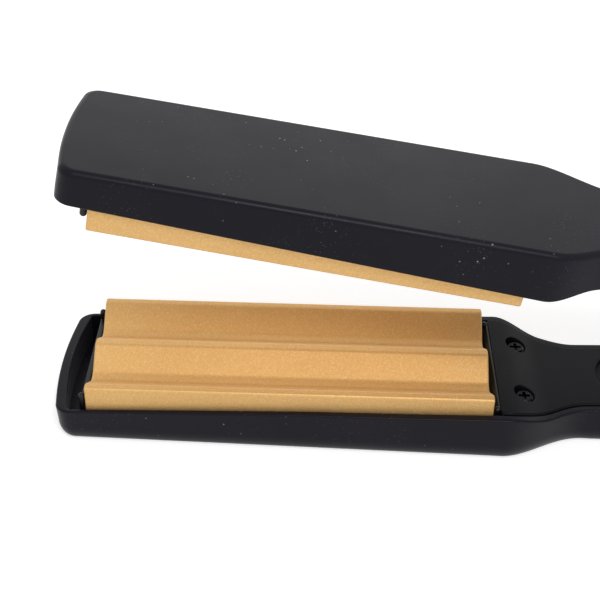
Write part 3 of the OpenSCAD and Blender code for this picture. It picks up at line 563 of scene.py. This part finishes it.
PLASTICS = {
    "soft_touch_black": dict(dark=(0.005, 0.0043, 0.0085), light=(0.007, 0.0062, 0.011),
                             rough=0.33, grain=0.25, dust=0.8, specular=0.12, sheen=0.04),
    "moulded_black": dict(dark=(0.0040, 0.0037, 0.0055), light=(0.0055, 0.005, 0.0075),
                          rough=0.38, grain=0.35, dust=0.4, specular=0.08),
    "heat_proof_black": dict(dark=(0.004, 0.004, 0.0045), light=(0.006, 0.006, 0.0065),
                             rough=0.36, grain=0.2, specular=0.3),
    "button_black": dict(dark=(0.008, 0.0077, 0.0095), light=(0.011, 0.0105, 0.013),
                         rough=0.36, grain=0.25, specular=0.3),
    "heater_white": dict(dark=(0.72, 0.69, 0.62), light=(0.8, 0.77, 0.7), rough=0.7, grain=0.3),
    "mica": dict(dark=(0.62, 0.55, 0.42), light=(0.72, 0.66, 0.52), rough=0.45, grain=0.2),
    "bead_glass": dict(dark=(0.24, 0.12, 0.06), light=(0.32, 0.17, 0.09), rough=0.2, grain=0.1),
    "board_green": dict(dark=(0.02, 0.15, 0.07), light=(0.03, 0.2, 0.09), rough=0.35, grain=0.1),
    "switch_black": dict(dark=(0.02, 0.02, 0.02), light=(0.03, 0.03, 0.03), rough=0.3, grain=0.1),
    "lens_red": dict(dark=(0.42, 0.035, 0.03), light=(0.5, 0.05, 0.04), rough=0.15, grain=0.05),
}
METALS = {
    "sheet_steel": dict(colour=(0.6, 0.6, 0.62), rough=0.3),
    "screw_black": dict(colour=(0.014, 0.014, 0.016), rough=0.3, stretch=(1, 1, 1)),
    "fuse_metal": dict(colour=(0.65, 0.65, 0.66), rough=0.28),
    "bright_steel": dict(colour=(0.62, 0.62, 0.64), rough=0.24),
}
MATERIALS = {name: plastic(name, **look) for name, look in PLASTICS.items()}
MATERIALS.update({name: metal(name, **look) for name, look in METALS.items()})
MATERIALS["gold_ceramic"] = gold_plate("gold_ceramic")
MATERIALS["lead_sleeve"] = lead_braid("lead_sleeve")

for entry in frame["record"]["subparts"]:
    skin = frame["nodes"][entry["node"]].data.materials
    skin.clear()
    skin.append(MATERIALS[entry["material_slot"]])


# ---- Housings ----

def housing_shape(arm):
    """A tub with a rounded back edge, a soft outer rim and a well for the plate and the cover."""
    outer_stations = side_stations(arm.end - arm.rear_r)
    well_stations = side_stations(arm.cavity_end - CAVITY_CORNER_R)
    while len(well_stations) < len(outer_stations):      # the loft needs equally many points
        well_stations.insert(-1, (well_stations[-2] + well_stations[-1]) / 2)

    def outer(inset, level):
        points = outline(-TIP_REACH + inset, TIP_BOW, TIP_CORNER_R - inset / 2, arm.end - inset,
                         arm.rear_r - inset / 2, lambda x: inset_half(x, inset), outer_stations)
        return [(x, y, level(x)) for x, y in points]

    def well(inset, level):
        points = outline(-TIP_REACH + TIP_LAND + inset, CAVITY_BOW, CAVITY_CORNER_R,
                         arm.cavity_end - inset, CAVITY_CORNER_R,
                         lambda x: cavity_half(x, inset), well_stations)
        return [(x, y, level(x)) for x, y in points]

    def under_rim(drop):
        return lambda x: arm.rim_z(x) - drop

    rings = []
    for a in quarter(10):
        height = arm.edge_up * (1 - math.cos(a))
        rings.append(outer(DRAFT + arm.edge_in * (1 - math.sin(a)), lambda x: height))
    for a in quarter(4):
        rings.append(outer(RIM_R * (1 - math.cos(a)), under_rim(RIM_R * (1 - math.sin(a)))))
    for a in quarter(3):
        rings.append(well(-WELL_EDGE_R * (1 - math.sin(a)),
                          under_rim(WELL_EDGE_R * (1 - math.cos(a)))))
    rings.append(well(0, lambda x: FLOOR_T))
    return loft(rings)


def add_lower_shell():
    """The lower tub, with its hinge knuckle and the collar round the cord outlet."""
    chamber_end = SLEEVE_START + COLLAR_T + 2 * SEAT_GAP
    outlet_cuts = [
        turned(disc(CHAMBER_D / 2, -PAST, chamber_end - LOWER.cavity_end),
               at_outlet(LOWER.cavity_end)),
        turned(disc(SLEEVE_D / 2 + RUNNING_GAP, 0, TAIL_END + PAST - SLEEVE_START),
               at_outlet(SLEEVE_START))]
    piece("lower_shell", housing_shape(LOWER), LOWER, "soft_touch_black", ["lower_housing"],
          cutters=outlet_cuts)

    x, z = LOWER.hinge()
    feet = [(x - KNUCKLE_R, KNUCKLE_FOOT_Z), (x + KNUCKLE_R, KNUCKLE_FOOT_Z)]
    knuckle = prism(arc(x, z, KNUCKLE_R, 0, 180) + feet, -KNUCKLE_W / 2, KNUCKLE_W / 2)
    spring_cuts = [across_bar(x, z, SPRING_SLOT_R, SPRING_SLOT_W),
                   box((x - KNUCKLE_R - PAST, x), (-SPRING_SLOT_W / 2, SPRING_SLOT_W / 2),
                       (z - SPRING_SLOT_R, z + KNUCKLE_R + PAST))]
    pin_hole = across_bar(x, z, PIN_D / 2 + RUNNING_GAP, KNUCKLE_W + 2 * PAST)
    piece("knuckle", bevelled(knuckle, width=0.4), LOWER, "soft_touch_black",
          cutters=spring_cuts + [pin_hole] + outlet_cuts)

    collar = bevelled(disc(SLEEVE_D / 2 + WALL, 0, TAIL_END - SLEEVE_START), width=0.5)
    piece("outlet_collar", turned(collar, at_outlet(SLEEVE_START)), LOWER, "soft_touch_black",
          cutters=outlet_cuts)


def ear_outline():
    """The disc round the hinge and its broad foot in the housing, joined by tangents."""
    hinge_x, hinge_z = UPPER.hinge()
    foot_z = UPPER.rim_z(hinge_x) - EAR_FOOT_DEPTH
    front, rear = hinge_x - 1.6 * KNUCKLE_R, hinge_x + 0.7 * KNUCKLE_R

    def tangent(x, side):
        """Angle of the point where the line from the foot at x touches the disc."""
        reach = math.hypot(x - hinge_x, foot_z - hinge_z)
        to_foot = math.atan2(foot_z - hinge_z, x - hinge_x)
        return math.degrees(to_foot + side * math.acos(KNUCKLE_R / reach))

    disc_arc = arc(hinge_x, hinge_z, KNUCKLE_R, tangent(rear, 1), tangent(front, -1) + 360,
                   steps=40)
    return disc_arc + [(front, foot_z), (rear, foot_z)]


def add_upper_shell():
    """The upper tub, with room for the knuckle, the spring's rib, and two ears with caps."""
    x, z = UPPER.hinge()
    knuckle_room = [across_bar(x, z, KNUCKLE_R + 0.5, 2 * EAR_INNER),
                    box((HINGE_X - KNUCKLE_ROOM, UPPER.end - HOOD_T), (-EAR_INNER, EAR_INNER),
                        (HOOD_T, z))]
    piece("upper_shell", housing_shape(UPPER), UPPER, "soft_touch_black", ["upper_housing"],
          cutters=knuckle_room)
    rib = box((x - RIB_FRONT, x - RIB_REAR), (-RIB_W / 2, RIB_W / 2),
              (HOOD_T - 0.5, z - SPRING_SLOT_R))
    piece("spring_rib", bevelled(rib, width=0.3), UPPER, "soft_touch_black")

    r, seat_r = CAP_D / 2, CAP_D / 2 + RUNNING_GAP
    seat = revolve([(0, -CAP_T), (seat_r, -CAP_T), (seat_r, -0.2), (r + 0.35, 0.1),
                    (r + 0.35, PAST), (0, PAST)])
    cap = revolve([(0, -CAP_T), (r, -CAP_T), (r, -0.3), (r - 0.1, -0.1), (r - 0.3, 0),
                   (r - 0.9, 0), (r - 1.1, -0.15), (0, -0.15)])
    pin_hole = across_bar(x, z, PIN_D / 2 + RUNNING_GAP, HANDLE_REAR_W + 2 * PAST)
    for side in (-1, 1):
        ear = prism(ear_outline(), *sorted((side * EAR_INNER, side * EAR_OUTER)))
        outer_face = UPPER.at_hinge(side * EAR_OUTER)
        piece("ear", bevelled(ear, width=0.5), UPPER, "soft_touch_black",
              cutters=[turned(seat, outer_face), pin_hole])
        piece("hinge_cap", turned(cap, outer_face), UPPER, "moulded_black", ["hinge_caps"])


# ---- Inner covers and controls ----

def cover_shape(arm):
    """A plate that fills the well in the neck and handle, with a soft upper edge."""
    rear = arm.cavity_end - COVER_END_GAP
    stations = side_stations(rear - CAVITY_CORNER_R, COVER_FRONT + 2 * COVER_FRONT_R)

    def ring(inset, drop):
        points = outline(COVER_FRONT + inset, 0, COVER_FRONT_R, rear - inset,
                         CAVITY_CORNER_R - inset, lambda x: cavity_half(x, SEAT_GAP + inset),
                         stations)
        return [(x, y, arm.cover_z(x) - drop) for x, y in points]

    edge = [ring(COVER_EDGE_R * (1 - math.cos(a)), COVER_EDGE_R * (1 - math.sin(a)))
            for a in quarter(4)]
    return loft([ring(0, COVER_T)] + edge)


def add_cover(arm):
    """An inner cover with its screw wells and, in the lower arm, the openings for the controls."""
    joins, cuts = [], []
    for place in SCREW_PLACES:
        face = arm.on_cover(*place)
        joins.append(turned(disc(WELL_D / 2 + WELL_WALL_T, -WELL_DEPTH - WELL_FLOOR_T,
                                 -COVER_T / 2), face))
        cuts.append(turned(sink(WELL_D / 2, WELL_DEPTH, flare=0.35), face))
    if arm is LOWER:
        face = arm.on_cover(POWER_X)
        joins.append(turned(disc(RECESS_D / 2 + RECESS_WALL_T, -RECESS_DEPTH - RECESS_FLOOR_T,
                                 -COVER_T / 2), face))
        cuts += [turned(sink(RECESS_D / 2, RECESS_DEPTH, flare=0.4, floor_r=0.4), face),
                 turned(disc(POWER_D / 2 + BUTTON_GAP, -THROUGH, PAST), face)]
        holes = [(x, TEMP_D / 2 + BUTTON_GAP, 0.25) for x in (TEMP_UP_X, TEMP_DOWN_X)]
        holes.append((LENS_X, LENS_D / 2 + RUNNING_GAP, 0.15))
        cuts += [turned(sink(r, THROUGH, flare), arm.on_cover(x)) for x, r, flare in holes]
    piece(arm.name + "_cover", cover_shape(arm), arm, "moulded_black", [arm.name + "_inner_cover"],
          cutters=cuts, joins=joins)


def button_shape(r, top, bottom, dish):
    """A round button: a shallow dished cap with a soft edge, on a flange."""
    points = [(0, bottom), (r + FLANGE_OUT, bottom), (r + FLANGE_OUT, bottom + FLANGE_T),
              (r, bottom + FLANGE_T)]
    points += [(r - BUTTON_EDGE_R * (1 - math.cos(a)), top - BUTTON_EDGE_R * (1 - math.sin(a)))
               for a in quarter(5)]
    points += [(r * t - BUTTON_EDGE_R, top - dish * (1 - t ** 2)) for t in (0.8, 0.6, 0.4, 0.2)]
    return revolve(points + [(0, top - dish)])


# Each button: piece, node and body, x, diameter, top and bottom from the cover's face, dish
BUTTONS = (("power_cap", "power_button", POWER_X, POWER_D, 0.1, -RECESS_DEPTH - 2.7, 0.35),
           ("temp_up_button_cap", "temp_up_button", TEMP_UP_X, TEMP_D, 0.7, -COVER_T - 1.15, 0.15),
           ("temp_down_button_cap", "temp_down_button", TEMP_DOWN_X, TEMP_D, 0.7,
            -COVER_T - 1.15, 0.15))


# ---- Wave plates and their carriers ----

def rounded(a, b, c, r, steps=7):
    """Points of the arc of radius r that rounds the corner b of the path a - b - c."""
    a, b, c = Vector(a), Vector(b), Vector(c)
    u, v = (a - b).normalized(), (c - b).normalized()
    half = u.angle(v) / 2
    centre = b + (u + v).normalized() * r / math.sin(half)
    p, q = b + u * r / math.tan(half) - centre, b + v * r / math.tan(half) - centre
    turn = math.copysign(math.pi - 2 * half, p.x * q.y - p.y * q.x)
    return [centre + Matrix.Rotation(angle, 2) @ p for angle in spread(0, turn, steps)]


def plate_shape(arm):
    """A plate: the wave between two skirts. The upper arm's wave fits into the lower arm's."""
    low_r, high_r = (TROUGH_R, CREST_R) if arm is LOWER else (CREST_R, TROUGH_R)
    run = WAVE_PITCH / 2 - WAVE_LAND
    bends = [(WAVE_LAND / 2, 0, high_r), (WAVE_LAND / 2 + run, 1, low_r),
             (WAVE_LAND * 1.5 + run, 1, low_r), (WAVE_PITCH - WAVE_LAND / 2, 0, high_r),
             (PLATE_W / 2, 0, SIDE_EDGE_R)]
    path = [(y, arm.side * WAVE_DEPTH * deep) for y, deep, _ in bends]
    path = [(0, 0)] + path + [(PLATE_W / 2, -SKIRT_DEPTH)]
    half = []
    for k, (_, _, r) in enumerate(bends):
        half += [tuple(p) for p in rounded(*path[k:k + 3], r)]
    inner = PLATE_W / 2 - SKIRT_T
    base = -PLATE_BASE - (WAVE_DEPTH if arm is LOWER else 0)
    half += [(PLATE_W / 2, -SKIRT_DEPTH), (inner, -SKIRT_DEPTH), (inner, base)]
    section = half + [(-y, z) for y, z in reversed(half)]
    return bevelled(prism(section, -PLATE_L / 2, PLATE_L / 2, "x"), PLATE_EDGE, steps=4)


def carrier_shape():
    """The heat-proof carrier: a tray with an end wall and two domed pegs at each end."""
    half, peg_r = PLATE_W / 2 - SKIRT_T - SEAT_GAP, PEG_D / 2
    sides = (-half - WALL_OUT, half + WALL_OUT)
    tip = -PLATE_L / 2 - TIP_GAP - TIP_WALL_T
    heel = PLATE_L / 2 + HEEL_GAP + HEEL_WALL_T
    tip_wall = box((tip, tip + TIP_WALL_T), sides, (-CARRIER_UNDER, -TIP_WALL_DROP))
    heel_wedge = prism([(heel - HEEL_WALL_T, -CARRIER_UNDER), (heel, -CARRIER_UNDER),
                        (heel, -HEEL_WALL_DROP), (heel - HEEL_LAND, -HEEL_WALL_DROP),
                        (heel - HEEL_WALL_T, -HEEL_WALL_DROP - HEEL_SLOPE)], *sides)
    tray = box((tip + TRAY_END_INSET, heel - TRAY_END_INSET), (-half, half),
               (-CARRIER_UNDER, -CARRIER_UNDER + TRAY_T))
    parts = [bevelled(tip_wall, width=0.35), bevelled(heel_wedge, width=0.15, degrees=25), tray]
    for x, drop in ((tip + TIP_WALL_T / 2, TIP_PEG_DROP), (heel - HEEL_WALL_T / 2, HEEL_PEG_DROP)):
        dome = [(peg_r * math.cos(a), -drop - peg_r + peg_r * math.sin(a)) for a in quarter(6)]
        peg = revolve([(0, -CARRIER_UNDER), (peg_r, -CARRIER_UNDER)] + dome, steps=32)
        parts += [turned(peg, Matrix.Translation((x, s * (half + SEAT_GAP), 0))) for s in (-1, 1)]
    return joined(*parts)


# ---- Cord sleeve ----

def sleeve_shape():
    """A turned sleeve with a collar inside the tail, a flange outside it and grip rings."""
    r, bore, collar = SLEEVE_D / 2, CORD_BORE_D / 2, CHAMBER_D / 2 - SEAT_GAP
    flange = TAIL_END - SLEEVE_START + 0.3
    groove, pitch, end_r = 0.25, 1.4, 0.5
    points = [(bore, 0), (collar, 0), (collar, COLLAR_T), (r, COLLAR_T), (r, flange),
              (r + 0.7, flange), (r + 0.8, flange + 0.2), (r + 0.7, flange + 0.6),
              (r, flange + 1.5)]
    x = flange + 2.2
    while x < SLEEVE_L - 1.2:
        points += [(r, x), (r - groove, x + 0.15), (r - groove, x + 0.55), (r, x + 0.7)]
        x += pitch
    points += [(r - end_r * (1 - math.cos(a)), SLEEVE_L - end_r * (1 - math.sin(a)))
               for a in quarter(4)]
    return revolve(points + [(bore + 0.3, SLEEVE_L), (bore, SLEEVE_L - 0.3)], steps=96)


# ---- The whole object ----

add_lower_shell()
add_upper_shell()
for arm in ARMS:
    add_cover(arm)
for name, node, x, diameter, top, bottom, dish in BUTTONS:
    cap = button_shape(diameter / 2, top, bottom, dish)
    piece(name, turned(cap, LOWER.on_cover(x)), LOWER, "button_black", [node], body=node)
for arm in ARMS:
    piece(arm.name + "_plate", turned(plate_shape(arm), arm.plane()), arm, "gold_ceramic",
          [arm.name + "_wave_plate"])
    piece(arm.name + "_frame", turned(carrier_shape(), arm.plane()), arm, "heat_proof_black",
          [arm.name + "_plate_frame"])
piece("outlet_sleeve", turned(sleeve_shape(), at_outlet(SLEEVE_START)), LOWER, "moulded_black",
      ["cord_sleeve"], body="cord_sleeve")

# ---- Camera, light and floor ----

VIEW_LENS_PX, FRAME_PX, SENSOR_MM = 1248.0, 600, 36.0
VIEW_DOWN, VIEW_TURN, VIEW_ROLL = 35.68, 0.84, 1.12    # degrees
VIEW_SHIFT = (-2.061, -11.303)                         # of the plate's middle from the image's, mm
VIEW_DISTANCE = 303.99
LAMPS = {                                              # place and size in metres, power in watts
    "front": ((0.15, -0.65, 0.9), 0.36, 4.4),
    "back": ((-0.1, 0.95, 0.3), 0.7, 0.8),
}
SKY_LIGHT, SKY_SEEN = 0.66, 1.0                        # the sky's strength: as light, and as seen
FLOOR_HALF, FLOOR_COLOUR, FLOOR_GLOW = 4.0, (0.8, 0.8, 0.8, 1), 0.52
WHITE = (1, 1, 1, 1)


def add_camera():
    """The photograph's viewpoint, aimed in the lower arm's closing frame."""
    down, roll = math.radians(VIEW_DOWN), math.radians(VIEW_ROLL)
    turn = Matrix.Rotation(math.radians(VIEW_TURN), 3, "Z")
    ahead = turn @ Vector((0, math.cos(down), -math.sin(down)))
    level = turn @ Vector((1, 0, 0))
    upright = turn @ Vector((0, math.sin(down), math.cos(down)))
    right = level * math.cos(roll) + upright * math.sin(roll)
    up = upright * math.cos(roll) - level * math.sin(roll)
    place = -ahead * VIEW_DISTANCE - right * VIEW_SHIFT[0] - up * VIEW_SHIFT[1]
    to_part = LOWER.matrix() @ LOWER.plane()
    spin = LOWER.plane().to_3x3() @ Matrix((right, up, -ahead)).transposed()
    made = bpy.data.objects.new("camera", bpy.data.cameras.new("camera"))
    made.data.sensor_width, made.data.sensor_fit = SENSOR_MM, "HORIZONTAL"
    made.data.lens = VIEW_LENS_PX * SENSOR_MM / FRAME_PX
    made.data.clip_start, made.data.clip_end = 0.01, 10
    made.matrix_world = Matrix.Translation(to_part @ place) @ spin.to_4x4()
    bpy.context.scene.collection.objects.link(made)
    bpy.context.scene.camera = made


def add_lamp(name, place, size, power):
    """A square lamp that faces the object."""
    data = bpy.data.lights.new(name, "AREA")
    data.shape, data.size, data.energy = "SQUARE", size, power
    made = bpy.data.objects.new(name, data)
    made.location = place
    made.rotation_euler = (-Vector(place)).to_track_quat("-Z", "Y").to_euler()
    bpy.context.scene.collection.objects.link(made)


def seen_directly(paint):
    """1 on rays from the camera, from a mirror or through glass, 0 on rays that light things."""
    ray = paint.add("LightPath", {}).outputs
    mirrored = paint.compute("MAXIMUM", ray["Is Camera Ray"], ray["Is Glossy Ray"])
    return paint.compute("MAXIMUM", mirrored, ray["Is Transmission Ray"])


def add_world():
    """An even white sky, which lights the object less than it shows."""
    paint = Paint(bpy.data.worlds.new("world"), "Background")
    strength = paint.ramp(seen_directly(paint), (SKY_LIGHT, SKY_SEEN), (0, 1))
    paint.feed(paint.shader, {"Color": WHITE, "Strength": strength})
    bpy.context.scene.world = paint.owner


def add_floor():
    """A pale floor that takes the object's shadow and shows nearly white."""
    h = FLOOR_HALF
    made = mesh_object("floor", ([(-h, -h, 0), (h, -h, 0), (h, h, 0), (-h, h, 0)], [(0, 1, 2, 3)]),
                       Matrix.Identity(4))
    paint = Paint(bpy.data.materials.new("floor"))
    glow = paint.ramp(seen_directly(paint), (0, FLOOR_GLOW), (0, 1))
    paint.feed(paint.shader, {"Base Color": FLOOR_COLOUR, "Roughness": 0.9,
                              "Specular IOR Level": 0.0, "Emission Color": WHITE,
                              "Emission Strength": glow})
    made.data.materials.append(paint.owner)


add_camera()
add_world()
add_floor()
for name, (place, size, power) in LAMPS.items():
    add_lamp(name, place, size, power)
bpy.context.scene.view_settings.view_transform = "Standard"
